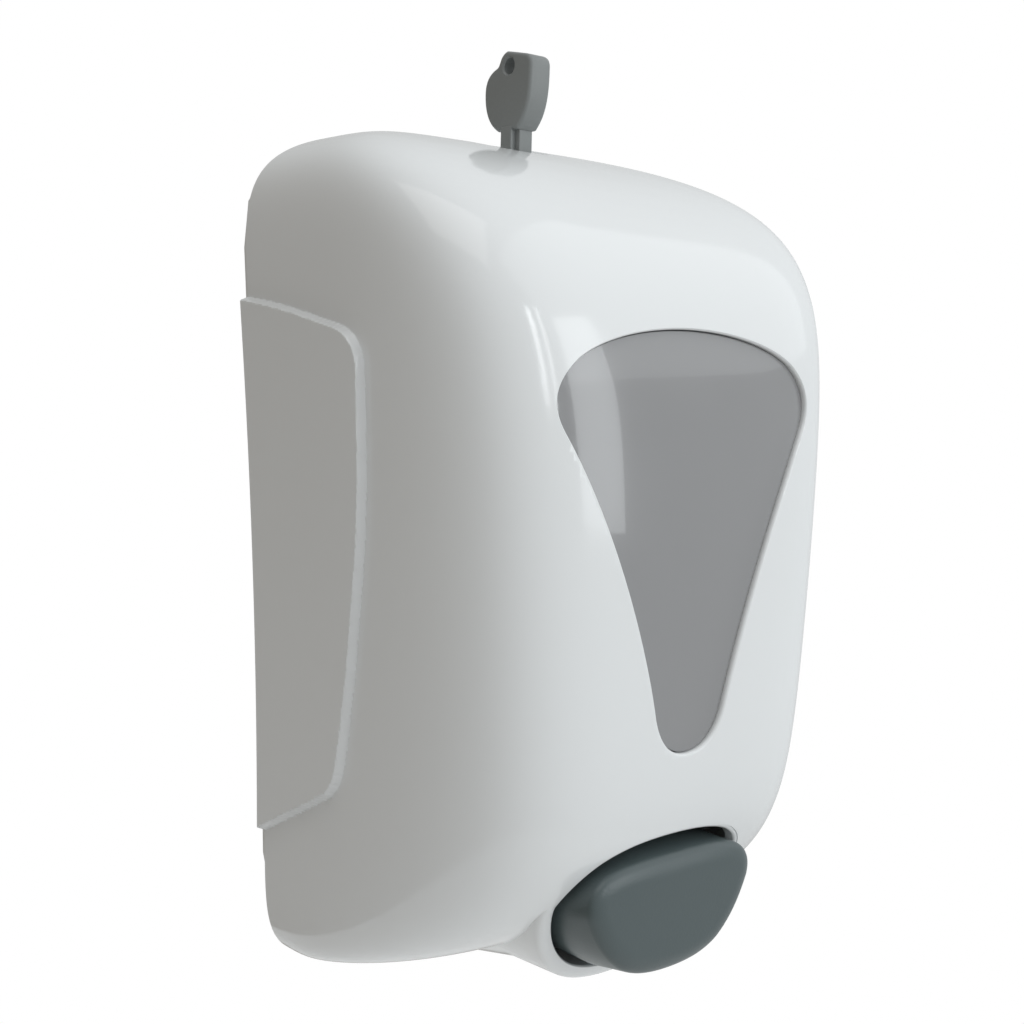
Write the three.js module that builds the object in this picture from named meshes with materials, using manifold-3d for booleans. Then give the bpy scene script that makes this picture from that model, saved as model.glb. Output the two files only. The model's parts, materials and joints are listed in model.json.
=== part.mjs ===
// Wall mounted soap dispenser: a moulded cover with a sight window and a push button, hinged at the
// foot of a wall plate and locked by a key at the top, over a refillable tank with a piston pump.
// Millimetres. X is to the right of a person facing it, -Y comes out of the wall, +Z is up.
// The origin is on the plate's back face, half way up the body.
import * as THREE from 'three'
import { mergeVertices } from 'three/addons/utils/BufferGeometryUtils.js'
import Module from 'manifold-3d'

const wasm = await Module()
wasm.setup()

// ---------------------------------------------------------------- driving dimensions
const HALF_HEIGHT = 115 // of the body, without the key
const HALF_WIDTH = 67.4 // at the origin's height
const DEPTH = 96.7 // from the wall to the front, at the origin's height
const WALL = 2.5 // thickness of the cover
const PLATE_EDGE = 2 // thickness of the wall plate's base
const RIM_GAP = 0.3 // between the plate and the cover's rim
const GAP = 0.3 // between pieces that touch

const HINGE = { y: -5.5, z: -111, radius: 3, pin: 1.3, hole: 1.5 }
const LUG = { inner: 34, outer: 40, play: 0.5 } // the plate's hinge lugs, from the middle
const KNUCKLE_WIDTH = 6

const PANEL_RISE = 2.4 // of the raised side panels
const PANE = { thick: 1.6, flange: 4, recess: 1.3 } // the window's
const COLLAR = { back: -36, front: -88, top: -68, lean: 0.4, lip: 4 }
const PUMP = { z: -86, radius: 11, bore: 8, back: -28, front: -55, cap: 13.2 }
const NECK = { y: -40, radius: 12, bore: 8.5, bottom: -60 } // the tank's outlet
const OUTLET = { y: -39.5, radius: 6, bore: 2.5 } // below the pump
const PISTON = { back: -44, front: -50, seal: -47, push: -69.4, pad: 2 }
const BUTTON = { front: -94, shoulder: -80, back: -64, wall: 2.2, push: -69.7, play: 2 }
const BUTTON_EDGE = { across: 5, deep: 3 } // how its face falls away to the sides
const TANK = { inset: 9, wall: 2, back: -19, bottom: -48, top: 70 }
const TANK_GAP = 0.4 // between the tank and the shelf
const SHELF = { half: 42, slot: 17.5, front: -66, back: -22, bottom: -51.5 }
const SCREW = { x: 42, top: 66, foot: -74, slot: 2.6, entry: 5, drop: 9 } // wall screws' places

const LATCH = { half: 5, top: 96, arm: 91.8, armBottom: 87, front: -29, nose: -18.2, catch: 1 }
const KEY_Y = -24.2
const KEY = { thick: 7.6, foot: 115.8, shoulder: 104.3, tip: 98.5, eye: 2.2, hole: 5.3 }
const CROSS = { stem: 7.8, stemArm: 4.4, bit: 6.3, bitArm: 2.2 } // the key's stem and its tip

// ---------------------------------------------------------------- materials
function plastic(color, roughness, opacity = 1) {
  const extra = opacity < 1 ? { transparent: true, opacity } : {}
  return new THREE.MeshStandardMaterial({ color, roughness, metalness: 0, ...extra })
}
const whiteGloss = plastic(0xe4e6e6, 0.18)
const whiteMatte = plastic(0xd9dada, 0.5)
const smoke = plastic(0x8f9294, 0.12, 0.45)
const slate = plastic(0x5c6868, 0.35)
const keyGrey = plastic(0x70767a, 0.4)
const milky = plastic(0xdfe3e2, 0.3, 0.6)
const pumpWhite = plastic(0xe8e8e4, 0.35)
const rubber = plastic(0x2c2d2e, 0.8)
const silicone = plastic(0xc9cdca, 0.6, 0.8)
const steel = new THREE.MeshStandardMaterial({ color: 0xb4b6b8, roughness: 0.3, metalness: 1 })

// ---------------------------------------------------------------- solids and booleans
const AXES = {
  // where a shape's x, its y and its depth go
  X: [new THREE.Vector3(0, 1, 0), new THREE.Vector3(0, 0, 1), new THREE.Vector3(1, 0, 0)],
  Y: [new THREE.Vector3(1, 0, 0), new THREE.Vector3(0, 0, 1), new THREE.Vector3(0, -1, 0)],
  Z: [new THREE.Vector3(1, 0, 0), new THREE.Vector3(0, 1, 0), new THREE.Vector3(0, 0, 1)],
}

function solid(geometry) {
  const bare = geometry.clone()
  bare.deleteAttribute('normal')
  bare.deleteAttribute('uv')
  const merged = mergeVertices(bare, 1e-4)
  const index = merged.index.array
  const faces = []
  for (let i = 0; i < index.length; i += 3) {
    const [a, b, c] = [index[i], index[i + 1], index[i + 2]]
    if (a !== b && b !== c && c !== a) faces.push(a, b, c)
  }
  const make = (triVerts) => new wasm.Manifold(new wasm.Mesh({
    numProp: 3,
    vertProperties: new Float32Array(merged.attributes.position.array),
    triVerts: new Uint32Array(triVerts),
  }))
  const made = make(faces)
  return made.volume() > 0 ? made : make(faces.reverse())
}

function box(x0, x1, y0, y1, z0, z1) {
  const g = new THREE.BoxGeometry(x1 - x0, y1 - y0, z1 - z0)
  return solid(g.translate((x0 + x1) / 2, (y0 + y1) / 2, (z0 + z1) / 2))
}

// A shape drawn in (x, z), (y, z) or (x, y) and extruded along Y, X or Z from start to end.
function prism(shape, axis, start, end, steps = 6) {
  const depth = Math.abs(end - start)
  const g = new THREE.ExtrudeGeometry(shape, { depth, bevelEnabled: false, curveSegments: steps })
  g.applyMatrix4(new THREE.Matrix4().makeBasis(...AXES[axis]))
  const from = axis === 'Y' ? Math.max(start, end) : Math.min(start, end)
  return solid(g).translate(AXES[axis][2].clone().setLength(Math.abs(from))
    .multiplyScalar((axis === 'Y' ? -1 : 1) * Math.sign(from)).toArray())
}

function disc(radius, sides = 20) {
  const shape = new THREE.Shape()
  for (let i = 0; i < sides; i++) {
    const a = (2 * Math.PI * (i + 0.5)) / sides
    const p = [radius * Math.cos(a), radius * Math.sin(a)]
    i ? shape.lineTo(...p) : shape.moveTo(...p)
  }
  return shape
}

function rod(axis, radius, start, end, at, sides = 20) {
  const [a, b] = at
  const move = { X: [0, a, b], Y: [a, 0, b], Z: [a, b, 0] }[axis]
  return prism(disc(radius, sides), axis, start, end).translate(move)
}

function pipe(axis, outer, inner, start, end, at, sides = 20) {
  const more = 1
  const low = Math.min(start, end) - more
  const high = Math.max(start, end) + more
  return rod(axis, outer, start, end, at, sides).subtract(rod(axis, inner, low, high, at, sides))
}

function slab(points) {
  return new THREE.Shape(points.map(([a, b]) => new THREE.Vector2(a, b)))
}

function join(first, ...rest) {
  return rest.reduce((whole, piece) => whole.add(piece), first)
}

function cut(first, ...rest) {
  return rest.reduce((whole, piece) => whole.subtract(piece), first)
}

// A polygon with its corners rounded by a curve of its own radius each: [a, b, radius].
function rounded(corners) {
  const shape = new THREE.Shape()
  corners.forEach(([a, b, radius], i) => {
    const here = new THREE.Vector2(a, b)
    const before = new THREE.Vector2(...corners.at(i - 1))
    const after = new THREE.Vector2(...corners[(i + 1) % corners.length])
    const start = here.clone().add(before.sub(here).setLength(radius))
    const end = here.clone().add(after.sub(here).setLength(radius))
    i ? shape.lineTo(start.x, start.y) : shape.moveTo(start.x, start.y)
    if (radius > 0) shape.quadraticCurveTo(a, b, end.x, end.y)
  })
  return shape
}

// The outline's points, anticlockwise, moved outwards by an amount along its corners' normals.
function grown(shape, amount, steps = 5) {
  const apart = (p, q) => p.distanceTo(q) > 1e-3
  const points = shape.getPoints(steps).filter((p, i, all) => i === 0 || apart(p, all[i - 1]))
  if (!apart(points[0], points.at(-1))) points.pop()
  if (THREE.ShapeUtils.isClockWise(points)) points.reverse()
  return points.map((p, i) => {
    const along = points[(i + 1) % points.length].clone().sub(points.at(i - 1)).normalize()
    return new THREE.Vector2(p.x + amount * along.y, p.y - amount * along.x)
  })
}

// A solid over flat rings of equally many points: each layer is [its ring, where it lies].
function stack(axis, layers) {
  const [across, up, out] = AXES[axis]
  const flat = layers.map(([ring]) => ring)
  const count = flat[0].length
  const points = flat.flatMap((ring, i) => ring.map((p) => new THREE.Vector3()
    .addScaledVector(across, p.x).addScaledVector(up, p.y)
    .addScaledVector(out, axis === 'Y' ? -layers[i][1] : layers[i][1])))
  const faces = []
  for (let i = 0; i + 1 < layers.length; i++) {
    for (let j = 0; j < count; j++) {
      const a = i * count + j
      const b = i * count + ((j + 1) % count)
      faces.push(a, b, b + count, a, b + count, a + count)
    }
  }
  const last = count * (layers.length - 1)
  for (const [a, b, c] of THREE.ShapeUtils.triangulateShape(flat[0], [])) faces.push(c, b, a)
  for (const [a, b, c] of THREE.ShapeUtils.triangulateShape(flat.at(-1), [])) {
    faces.push(last + a, last + b, last + c)
  }
  const g = new THREE.BufferGeometry().setFromPoints(points)
  g.setIndex(faces)
  return solid(g)
}

// The outline in layers along an axis: each layer is [how far it is grown, where it lies].
function layered(shape, axis, layers, steps = 5) {
  return stack(axis, layers.map(([amount, at]) => [grown(shape, amount, steps), at]))
}

// Layers of a block, grown by a margin, whose front edge is rounded off.
function soft(margin, back, front, radius, steps = 2) {
  const layers = [[margin, back]]
  for (let i = 0; i <= steps; i++) {
    const a = (Math.PI * i) / steps / 2
    layers.push([margin - radius * (1 - Math.cos(a)), front + radius * (1 - Math.sin(a))])
  }
  return layers
}

// ---------------------------------------------------------------- the body's form
// Level runs from -1 at the foot to 1 at the crown.
function halfWidth(level) {
  const taper = 1 + 0.077 * level + 0.05 * level ** 2
  const end = level > 0 ? (1 - level ** 11.8) ** 0.454 : (1 - (-level) ** 14.6) ** 0.158
  return HALF_WIDTH * taper * end
}

function depthAt(level) {
  const taper = 1 - 0.013 * level - 0.081 * level ** 2 - 0.039 * level ** 3
  const end = level > 0 ? (1 - level ** 5.87) ** 0.739 : (1 - (-level) ** 5.65) ** 0.856
  return DEPTH * taper * end
}

function squareness(level) {
  return 4.99 + 1.07 * level // higher is squarer
}

// The body drawn in by an inset, from the given plane behind it, as rings of one section each.
function body(inset, back, rows = 18, columns = 16) {
  const rings = []
  for (let i = 0; i <= rows; i++) {
    const level = 0.9996 * Math.sin(Math.PI * (i / rows - 0.5))
    const wide = Math.max(halfWidth(level) - inset, 0.3)
    const deep = Math.max(depthAt(level) - inset, 0.3)
    const power = 2 / squareness(level)
    const ring = [[wide, back]]
    for (let j = 0; j <= columns; j++) {
      const angle = (Math.PI * j) / columns
      const across = Math.sign(Math.cos(angle)) * Math.abs(Math.cos(angle)) ** power
      const out = j % columns ? Math.sin(angle) ** power : 0
      ring.push([wide * across, -deep * out])
    }
    ring.push([-wide, back])
    rings.push(ring.map(([x, y]) => new THREE.Vector3(x, y, (HALF_HEIGHT - inset) * level)))
  }
  return skin(rings)
}

// A closed surface over rings that each have the same number of points.
function skin(rings) {
  const points = rings.flat()
  const count = rings[0].length
  const faces = []
  for (let i = 0; i + 1 < rings.length; i++) {
    for (let j = 0; j < count; j++) {
      const a = i * count + j
      const b = i * count + ((j + 1) % count)
      faces.push(a, b, b + count, a, b + count, a + count)
    }
  }
  for (const [start, turn] of [[0, true], [(rings.length - 1) * count, false]]) {
    for (let j = 1; j + 1 < count; j++) {
      faces.push(start, ...(turn ? [start + j + 1, start + j] : [start + j, start + j + 1]))
    }
  }
  const g = new THREE.BufferGeometry().setFromPoints(points)
  g.setIndex(faces)
  return solid(g)
}

const everything = 300
const inFrontOf = (y) => box(-everything, everything, -everything, y, -everything, everything)

// The body's outline against the wall, drawn in by an inset, from a level up to the crown.
function wallOutline(inset, foot) {
  const side = []
  const steps = 14
  for (let i = 0; i <= steps; i++) {
    const level = foot + (0.9996 - foot) * Math.sin((Math.PI * i) / steps / 2)
    side.push([Math.max(halfWidth(level) - inset, 0.3), (HALF_HEIGHT - inset) * level])
  }
  return slab([...side, ...side.map(([x, z]) => [-x, z]).reverse()])
}

// Height of the body's top surface at a distance in front of the wall, by halving.
function crownAt(y) {
  let [low, high] = [0, 1]
  for (let i = 0; i < 40; i++) {
    const level = (low + high) / 2
    depthAt(level) > -y ? (low = level) : (high = level)
  }
  return HALF_HEIGHT * low
}

// ---------------------------------------------------------------- outlines
// A closed outline, the same on both sides of the middle, from one side's curves top to bottom.
function mirrored(startHeight, curves) {
  const shape = new THREE.Shape()
  shape.moveTo(0, startHeight)
  for (const c of curves) shape.bezierCurveTo(...c)
  const back = [...curves].reverse()
  back.forEach((c, i) => {
    const end = i + 1 < back.length ? back[i + 1].slice(4) : [0, startHeight]
    shape.bezierCurveTo(-c[2], c[3], -c[0], c[1], -end[0], end[1])
  })
  return shape
}

function windowOutline() {
  return mirrored(-44.2, [
    [6, -44.2, 10, -40.5, 12, -34],
    [16.5, -16, 27, 12, 42.5, 36.5],
    [46, 42.5, 45, 47.5, 38, 52.8],
    [30, 58, 15, 60.9, 0, 60.9],
  ])
}

// The button's opening: arched top, sides that draw in downwards, round foot.
function buttonOpening() {
  return mirrored(-66, [
    [9, -66, 17, -66.8, 23, -69.6],
    [29, -72.6, 32.4, -78, 31.2, -84],
    [29.6, -91, 24.5, -97.5, 18, -101.2],
    [12.5, -104.2, 6, -105, 0, -105],
  ])
}

function buttonFace() {
  return mirrored(-71.4, [
    [8, -71.4, 14, -71.2, 19.4, -71.6],
    [26.8, -72.2, 30.6, -76, 28.8, -82],
    [26.2, -87.8, 23, -92.8, 17.5, -96.8],
    [12.5, -100, 6, -100.6, 0, -100.6],
  ])
}

function panelOutline() {
  return rounded([
    [4, 68.3, 0], [-18, 65.6, 8], [-53.4, 58.2, 9], [-51.7, 14, 12], [-44.6, -31, 10],
    [-38.9, -56.5, 7], [4, -79, 0],
  ])
}

function keyOutline() {
  const shape = new THREE.Shape()
  shape.moveTo(4.2, 0)
  shape.bezierCurveTo(8.4, 2.2, 9.9, 6.2, 9.9, 10.6)
  shape.bezierCurveTo(9.9, 14.6, 8, 16.4, 4.8, 17.4)
  shape.bezierCurveTo(3.2, 18.4, 4, 20.4, 0.8, 21.4)
  shape.lineTo(-6.8, 19.8)
  shape.bezierCurveTo(-9, 19.3, -9.8, 18.2, -9.6, 15.8)
  shape.bezierCurveTo(-9.6, 9.3, -8.6, 3.6, -4.2, 0)
  return shape
}

// ---------------------------------------------------------------- wall plate
function screwHole(x, z) {
  return rod('Y', SCREW.slot, 2, -12, [x, z], 16)
}

// A slot that a screw's head goes in below, and that its shank then slides up.
function keyhole(x, z) {
  const entry = rod('Y', SCREW.entry, 2, -12, [x, z - SCREW.drop], 20)
  const slot = box(x - SCREW.slot, x + SCREW.slot, -12, 2, z - SCREW.drop, z)
  return join(entry, screwHole(x, z), slot)
}

// The shelf under the tank, open to the front for the tank's neck, on two gussets.
function shelf() {
  const { half, slot, front, back, bottom } = SHELF
  const outline = rounded([
    [-half, 0, 0], [-half, front, 5], [-slot, front, 2], [-slot, back, 6],
    [slot, back, 6], [slot, front, 2], [half, front, 5], [half, 0, 0],
  ])
  const gusset = slab([[-1, -50], [-58, -50], [-1, -84]])
  const gussets = [-37, 35].map((x) => prism(gusset, 'X', x, x + 2))
  return join(prism(outline, 'Z', bottom, -TANK_GAP + TANK.bottom), ...gussets)
}

function wallPlate() {
  const foot = -0.94
  const base = prism(wallOutline(0.8, foot), 'Y', 0, -PLATE_EDGE)
  const outer = prism(wallOutline(WALL + 1.1, -0.9), 'Y', -1, -12)
  const inner = prism(wallOutline(WALL + 2.9, -0.88), 'Y', 0, -14)
  const rib = outer.subtract(inner).intersect(body(WALL + 1.2, 4, 14, 12))
  const bosses = []
  const holes = []
  for (const x of [-SCREW.x, SCREW.x]) {
    bosses.push(rod('Y', 9, -1, -5, [x, SCREW.top], 24), rod('Y', 8, -1, -5, [x, SCREW.foot], 24))
    holes.push(keyhole(x, SCREW.top), screwHole(x, SCREW.foot))
  }
  // stiffening ribs behind the tank, and the case that the latch slides in
  const ribs = [-22, 20].map((x) => box(x, x + 2, -9, -1, -46, 54))
  const cross = [-20, 30].map((z) => box(-44, 44, -7, -1, z, z + 2))
  const caseWall = cut(box(-8, 8, -17.5, -1, 58, 82), box(-5.3, 5.3, -14.8, -4.2, 61, 90))
  // lugs that the cover hangs on
  const lugs = []
  for (const side of [-1, 1]) {
    const [a, b] = [side * LUG.inner, side * LUG.outer].sort((m, n) => m - n)
    lugs.push(rod('X', HINGE.radius, a, b, [HINGE.y, HINGE.z], 20))
    lugs.push(box(a, b, -4, 0, HINGE.z, -100))
    lugs.push(box(a, b, HINGE.y - 1, -1, -110, -106.5))
  }
  const plate = join(base, rib, shelf(), ...ribs, ...cross, caseWall, ...lugs)
  const pins = [-1, 1].map((side) => pinHole(side))
  return cut(join(plate, ...bosses), ...pins, ...holes)
}

function pinHole(side) {
  const [a, b] = [side * 20, side * 60].sort((m, n) => m - n)
  return rod('X', HINGE.hole, a, b, [HINGE.y, HINGE.z], 16)
}

// ---------------------------------------------------------------- front cover
function sidePanels() {
  const raised = body(-PANEL_RISE, 4)
  const outline = panelOutline()
  return join(
    raised.intersect(prism(outline, 'X', 40, 90)),
    raised.intersect(prism(outline, 'X', -90, -40)),
  )
}

// The ring around the button: its front leans back towards the foot.
function collar() {
  const lip = soft(COLLAR.lip, -50, COLLAR.front, 1.6)
  const ring = layered(buttonOpening(), 'Y', [[8, COLLAR.back], ...lip])
  return ring.warp((v) => {
    const share = Math.min(Math.max((v[1] - COLLAR.back) / (COLLAR.front - COLLAR.back), 0), 1)
    v[1] += share * COLLAR.lean * (COLLAR.top - v[2])
  })
}

function coverHinge() {
  const knuckles = []
  for (const side of [-1, 1]) {
    for (const start of [LUG.inner - LUG.play - KNUCKLE_WIDTH, LUG.outer + LUG.play]) {
      const [a, b] = [side * start, side * (start + KNUCKLE_WIDTH)].sort((m, n) => m - n)
      knuckles.push(rod('X', HINGE.radius, a, b, [HINGE.y, HINGE.z], 20))
    }
  }
  return join(...knuckles)
}

function lugSlots() {
  const slots = [-1, 1].map((side) => {
    const [a, b] = [side * (LUG.inner - LUG.play), side * (LUG.outer + LUG.play)].sort((m, n) => m - n)
    return box(a, b, -10, 2, -120, -104)
  })
  return join(...slots)
}

// The tube that guides the key's plunger, and the tab that the latch holds.
function keyBoss() {
  const top = crownAt(KEY_Y) - 1
  const tab = box(-7, 7, LATCH.nose + 0.4, LATCH.nose + 2.9, LATCH.top - LATCH.catch, 106)
  return join(rod('Z', KEY.hole + 2, 99, top, [0, KEY_Y], 24), tab)
}

function keyScoop() {
  const radius = 32
  const scoop = new THREE.SphereGeometry(radius, 32, 16)
  scoop.translate(0, KEY_Y - 1.5, crownAt(KEY_Y - 1) + radius - 1.9)
  return solid(scoop)
}

function frontCover() {
  const hollow = body(WALL, 10)
  const shell = cut(join(body(0, 4), sidePanels()).intersect(inFrontOf(-PLATE_EDGE - RIM_GAP)), hollow)
  const pod = cut(collar(), hollow)
  const shape = join(shell, pod, keyBoss().intersect(body(1, 4)), coverHinge())
  return cut(
    shape,
    lugSlots(),
    pinHole(-1),
    pinHole(1),
    prism(windowOutline(), 'Y', -60, -130, 6),
    prism(buttonOpening(), 'Y', -40, -130, 5),
    rod('Z', 10.5, -130, -96, [0, OUTLET.y], 20),
    keyScoop(),
    rod('Z', KEY.hole, 90, 130, [0, KEY_Y], 24),
  )
}

// A sheet behind the opening, whose raised middle stands in it.
function windowPane() {
  const hollow = body(WALL + GAP + PANE.thick, 10)
  const within = (amount) => prism(new THREE.Shape(grown(windowOutline(), amount, 6)), 'Y', -60, -130)
  const flange = body(WALL + GAP, 4).subtract(hollow).intersect(within(PANE.flange))
  const middle = body(PANE.recess, 4).subtract(hollow).intersect(within(-GAP))
  return join(flange, middle)
}

// ---------------------------------------------------------------- hinge pins, button, lock
function hingePin(side) {
  const ends = [side * (LUG.inner - LUG.play - 5.5), side * (LUG.outer + LUG.play + 5.5)]
  const [a, b] = ends.sort((m, n) => m - n)
  return rod('X', HINGE.pin, a, b, [HINGE.y, HINGE.z], 12)
}

// Rings of the button: straight skirt, then sides that draw in to a face with a rounded edge.
function buttonLayers(inset, back, front, edge) {
  const base = grown(buttonOpening(), -BUTTON.play - inset)
  const layers = [[base, back], [base, BUTTON.shoulder]]
  for (let i = 0; i <= 3; i++) {
    const angle = (Math.PI * i) / 6
    const at = front + edge.deep * (1 - Math.sin(angle))
    const share = (at - BUTTON.shoulder) / (BUTTON.front - BUTTON.shoulder)
    const face = grown(buttonFace(), -inset - edge.across * (1 - Math.cos(angle)))
    layers.push([face.map((p, n) => p.lerp(base[n], 1 - Math.min(share, 1))), at])
  }
  return layers
}

function pushButton() {
  const { back, front, wall } = BUTTON
  const outer = stack('Y', buttonLayers(0, back, front, BUTTON_EDGE))
  const inner = stack('Y', buttonLayers(wall, back + 8, front + wall, { across: 3, deep: 2 }))
  const post = pipe('Y', 6, 3.5, BUTTON.push, BUTTON.front + 1, [0, PUMP.z], 20)
  const ribs = [-1, 1].map((side) => {
    const [a, b] = [side * 5, side * 22].sort((m, n) => m - n)
    return box(a, b, BUTTON.front + 1, BUTTON.shoulder, PUMP.z - 0.9, PUMP.z + 0.9)
  })
  return join(outer.subtract(inner), post, ...ribs)
}

function cross(size, arm, z0, z1) {
  const h = size / 2
  const a = arm / 2
  return join(
    box(-h, h, KEY_Y - a, KEY_Y + a, z0, z1),
    box(-a, a, KEY_Y - h, KEY_Y + h, z0, z1),
  )
}

function key() {
  const half = KEY.thick / 2
  const layers = [[-0.9, -half], [0, 0.9 - half], [0, half - 0.9], [-0.9, half]]
  const head = layered(keyOutline(), 'X', layers, 5).translate([0, KEY_Y, KEY.foot])
  const eye = rod('X', KEY.eye, -10, 10, [KEY_Y - 0.4, KEY.foot + 17.2], 20)
  const stem = cross(CROSS.stem, CROSS.stemArm, KEY.shoulder, KEY.foot + 1)
  const bit = cross(CROSS.bit, CROSS.bitArm, KEY.tip, KEY.shoulder + 1)
  return cut(join(head, stem, bit), eye)
}

function lockPlunger() {
  const stem = rod('Z', 4.6, LATCH.top + GAP, KEY.shoulder - 0.4, [0, KEY_Y], 24)
  const collar = rod('Z', KEY.hole + 1, LATCH.top + GAP, 98.6, [0, KEY_Y], 24)
  const socket = cross(CROSS.bit + 2 * GAP, CROSS.bitArm + 2 * GAP, KEY.tip - GAP, 120)
  return cut(join(stem, collar), socket)
}

function latchBolt() {
  const arm = box(-LATCH.half, LATCH.half, LATCH.front, -4.5, LATCH.armBottom, LATCH.arm)
  const nose = box(-LATCH.half, LATCH.half, LATCH.front, LATCH.nose, LATCH.arm - 1, LATCH.top)
  const stem = box(-LATCH.half, LATCH.half, -14.5, -4.5, 68, LATCH.armBottom + 1)
  const pocket = rod('Z', 3.6, 60, 80, [0, -9.5], 16)
  return cut(join(arm, nose, stem), pocket)
}

// ---------------------------------------------------------------- springs
class Helix extends THREE.Curve {
  constructor(radius, turns, length) {
    super()
    Object.assign(this, { radius, turns, length })
  }
  getPoint(t, target = new THREE.Vector3()) {
    const angle = 2 * Math.PI * this.turns * t
    return target.set(
      this.radius * Math.cos(angle), this.radius * Math.sin(angle), this.length * t,
    )
  }
}

// A coil spring standing on Z, from 0 up.
function coil(radius, wire, turns, length) {
  const shape = disc(wire / 2, 4)
  const path = new Helix(radius, turns, length - wire)
  const g = new THREE.ExtrudeGeometry(shape, { extrudePath: path, steps: turns * 8, bevelEnabled: false })
  return solid(g).translate([0, 0, wire / 2])
}

// ---------------------------------------------------------------- tank and lid
function tankForm(inset) {
  return body(inset, 4, 14, 14)
}

function tank() {
  const rim = box(-80, 80, -200, TANK.back, TANK.bottom, TANK.top)
  const room = box(-80, 80, -200, TANK.back - TANK.wall, TANK.bottom + TANK.wall, TANK.top + 20)
  const shell = tankForm(TANK.inset).intersect(rim)
    .subtract(tankForm(TANK.inset + TANK.wall).intersect(room))
  const neck = rod('Z', NECK.radius, NECK.bottom, TANK.bottom + 1, [0, NECK.y])
  return cut(join(shell, neck), rod('Z', NECK.bore, NECK.bottom - 2, TANK.bottom + 4, [0, NECK.y]))
}

// The tank's form as one section, at a height, for a piece that slides straight up out of it.
function tankSection(inset, z) {
  const level = z / (HALF_HEIGHT - inset)
  const wide = halfWidth(level) - inset
  const deep = depthAt(level) - inset
  const power = 2 / squareness(level)
  const points = [[wide, 4]]
  for (let j = 0; j <= 14; j++) {
    const angle = (Math.PI * j) / 14
    const across = Math.sign(Math.cos(angle)) * Math.abs(Math.cos(angle)) ** power
    points.push([wide * across, j % 14 ? -deep * Math.sin(angle) ** power : 0])
  }
  return slab([...points, [-wide, 4]])
}

function lidPlug(gap, z0, z1) {
  const inset = TANK.inset + TANK.wall + gap
  const outline = prism(tankSection(inset, TANK.top), 'Z', z0, z1)
  return outline.intersect(inFrontOf(TANK.back - TANK.wall - gap))
}

function tankLid() {
  const plate = tankForm(TANK.inset - 1).intersect(
    box(-80, 80, -200, TANK.back + 1, TANK.top + GAP, TANK.top + 2.4),
  )
  const plug = lidPlug(1, TANK.top - 5, TANK.top + 1).subtract(lidPlug(2.6, TANK.top - 8, TANK.top))
  const grip = box(-12, 12, -52, -50, TANK.top + 1, TANK.top + 3.4)
  return join(plate, plug, grip)
}

// ---------------------------------------------------------------- pump
function pumpBody() {
  const barrel = rod('Y', PUMP.radius, PUMP.back, PUMP.front, [0, PUMP.z], 24)
  const column = rod('Z', 9, PUMP.z, -63, [0, NECK.y])
  const flange = rod('Z', 11.6, -63.5, -61.5, [0, NECK.y])
  const outlet = rod('Z', OUTLET.radius, -103.4, PUMP.z, [0, OUTLET.y], 24)
  return cut(
    join(barrel, column, flange, outlet),
    rod('Y', PUMP.bore, PUMP.back - 2.5, PUMP.front - 2, [0, PUMP.z], 24),
    rod('Z', 6.8, -74, -60, [0, NECK.y]),
    rod('Z', 4, PUMP.z, -70, [0, NECK.y], 20),
    rod('Z', OUTLET.bore, -106, PUMP.z, [0, OUTLET.y], 16),
  )
}

function inletValve() {
  const flap = rod('Z', 6.2, -73.7, -72.7, [0, NECK.y], 24)
  const stem = rod('Z', 1.4, -73.2, -68.5, [0, NECK.y], 12)
  return join(flap, stem)
}

function inletCage() {
  const disk = rod('Z', 6.5, -71.6, -69.6, [0, NECK.y], 24)
  const ports = [0, 1, 2, 3].map((n) => {
    const a = (n * Math.PI) / 2
    return rod('Z', 1.3, -73, -68, [3.9 * Math.cos(a), NECK.y + 3.9 * Math.sin(a)], 10)
  })
  return cut(disk, rod('Z', 1.7, -73, -68, [0, NECK.y], 12), ...ports)
}

function neckGasket() {
  return pipe('Z', 11.6, 8.8, -61.2, -60.3, [0, NECK.y])
}

function pumpNut() {
  const ring = prism(fluted(16, 0.7, 18), 'Z', -66.5, -52.5).translate([0, NECK.y, 0])
  return cut(
    ring,
    rod('Z', NECK.radius + 0.4, -63.8, -50, [0, NECK.y]),
    rod('Z', 9.5, -70, -60, [0, NECK.y]),
  )
}

// A round outline with shallow finger grips.
function fluted(radius, depth, count) {
  const points = []
  for (let i = 0; i < count * 4; i++) {
    const a = (2 * Math.PI * i) / (count * 4)
    const r = radius - depth * (i % 4 < 2 ? 0 : 1)
    points.push([r * Math.cos(a), r * Math.sin(a)])
  }
  return slab(points)
}

function pumpCap() {
  const cup = rod('Y', PUMP.cap, PUMP.front + 5.5, PUMP.front - 3, [0, PUMP.z], 24)
  return cut(
    cup,
    rod('Y', PUMP.radius + GAP, PUMP.front + 10, PUMP.front - GAP, [0, PUMP.z], 24),
    rod('Y', 4.4, PUMP.front, PUMP.front - 6, [0, PUMP.z], 24),
  )
}

function piston() {
  const head = rod('Y', 7.6, PISTON.back, PISTON.front, [0, PUMP.z], 20)
  const groove = pipe('Y', 9, 6, PISTON.seal + 1.3, PISTON.seal - 1.3, [0, PUMP.z], 20)
  const stem = rod('Y', 4, PISTON.front + 1, PISTON.push + 1, [0, PUMP.z], 24)
  const pad = rod('Y', 6.4, PISTON.push + PISTON.pad, PISTON.push, [0, PUMP.z], 20)
  const spigot = rod('Y', 3, PISTON.back + 4, PISTON.back - 1, [0, PUMP.z], 16)
  return join(head.subtract(groove), stem, pad, spigot)
}

function pistonSeal() {
  return pipe('Y', 7.9, 6.15, PISTON.seal + 1, PISTON.seal - 1, [0, PUMP.z], 20)
}

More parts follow.
